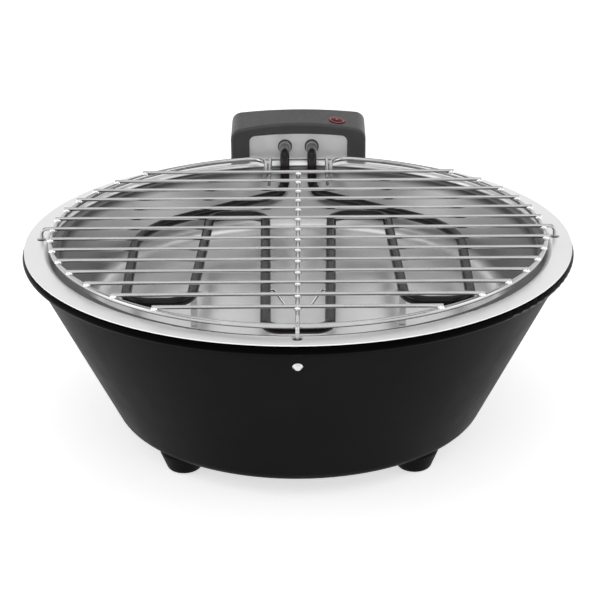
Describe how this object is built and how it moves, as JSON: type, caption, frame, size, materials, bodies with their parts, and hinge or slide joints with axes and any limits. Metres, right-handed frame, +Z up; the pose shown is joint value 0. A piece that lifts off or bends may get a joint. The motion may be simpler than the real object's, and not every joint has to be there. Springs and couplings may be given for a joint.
{
  "type": "electric table grill",
  "caption": "Round table-top electric barbecue: black conical bowl on feet, polished drip pan, loop heating element with control box at the back, chromed wire grid.",
  "frame": {"origin": "on the table under the middle of the bowl", "axes": "+Z up, -Y towards the cook at the front, control box at the back on +Y"},
  "size_m": [0.3499, 0.3887, 0.1578],
  "materials": {
    "bowl_black": "matte black stoved paint",
    "foot_black": "moulded, fine texture",
    "zinc_steel": "zinc plated",
    "rivet_bright": "bright domed head",
    "pan_steel": "polished",
    "grid_chrome": "bright plated wire",
    "element_sheath": "dark annealed sheath",
    "support_steel": "bent strip",
    "collar_dark": "blackened",
    "shield_steel": "satin",
    "housing_grey": "fine spark texture",
    "base_grey": "fine spark texture",
    "bead_ceramic": "steatite, unglazed",
    "pin_brass": "plain",
    "block_white": "moulded",
    "cutout_black": "moulded",
    "lead_brown": "sleeved",
    "lead_blue": "sleeved",
    "lamp_red": "clear red moulding",
    "lamp_white": "moulded",
    "grommet_black": "moulded"
  },
  "bodies": {
    "base": {"outer_bowl": "bowl_black", "foot_front_left": "foot_black", "foot_front_right": "foot_black", "foot_rear_right": "foot_black", "foot_rear_left": "foot_black", "foot_screws": "zinc_steel", "centring_clip_front": "zinc_steel", "centring_clip_rear_right": "zinc_steel", "centring_clip_rear_left": "zinc_steel", "clip_rivets": "rivet_bright"},
    "pan": {"drip_pan": "pan_steel"},
    "heater": {"control_housing": "housing_grey", "housing_base": "base_grey", "housing_screws": "zinc_steel", "heat_shield": "shield_steel", "heating_element": "element_sheath", "element_collar_left": "collar_dark", "element_collar_right": "collar_dark", "terminal_bead_left": "bead_ceramic", "terminal_bead_right": "bead_ceramic", "terminal_pin_left": "pin_brass", "terminal_pin_right": "pin_brass", "element_support_left": "support_steel", "element_support_right": "support_steel", "terminal_block": "block_white", "thermal_cutout": "cutout_black", "neutral_lead": "lead_blue", "live_lead": "lead_brown", "link_lead": "lead_brown", "pilot_lens": "lamp_red", "lamp_holder": "lamp_white", "cord_grommet": "grommet_black"},
    "grid": {"grid_ring": "grid_chrome", "grid_wire_01": "grid_chrome", "grid_wire_02": "grid_chrome", "grid_wire_03": "grid_chrome", "grid_wire_04": "grid_chrome", "grid_wire_05": "grid_chrome", "grid_wire_06": "grid_chrome", "grid_wire_07": "grid_chrome", "grid_wire_08": "grid_chrome", "grid_wire_09": "grid_chrome", "grid_wire_10": "grid_chrome", "grid_wire_11": "grid_chrome", "grid_wire_12": "grid_chrome", "grid_wire_13": "grid_chrome", "grid_wire_14": "grid_chrome", "grid_centre_rod": "grid_chrome", "grid_rear_stay_left": "grid_chrome", "grid_rear_stay_right": "grid_chrome"}
  },
  "joints": [
    {"name": "pan_lift", "type": "slide", "parent": "base", "child": "pan", "axis": [0, 0, 1], "range_m": [0, 0.15]},
    {"name": "heater_lift", "type": "slide", "parent": "pan", "child": "heater", "axis": [0, 0, 1], "range_m": [0, 0.1]},
    {"name": "grid_lift", "type": "slide", "parent": "heater", "child": "grid", "axis": [0, 0, 1], "range_m": [0, 0.08]}
  ]
}
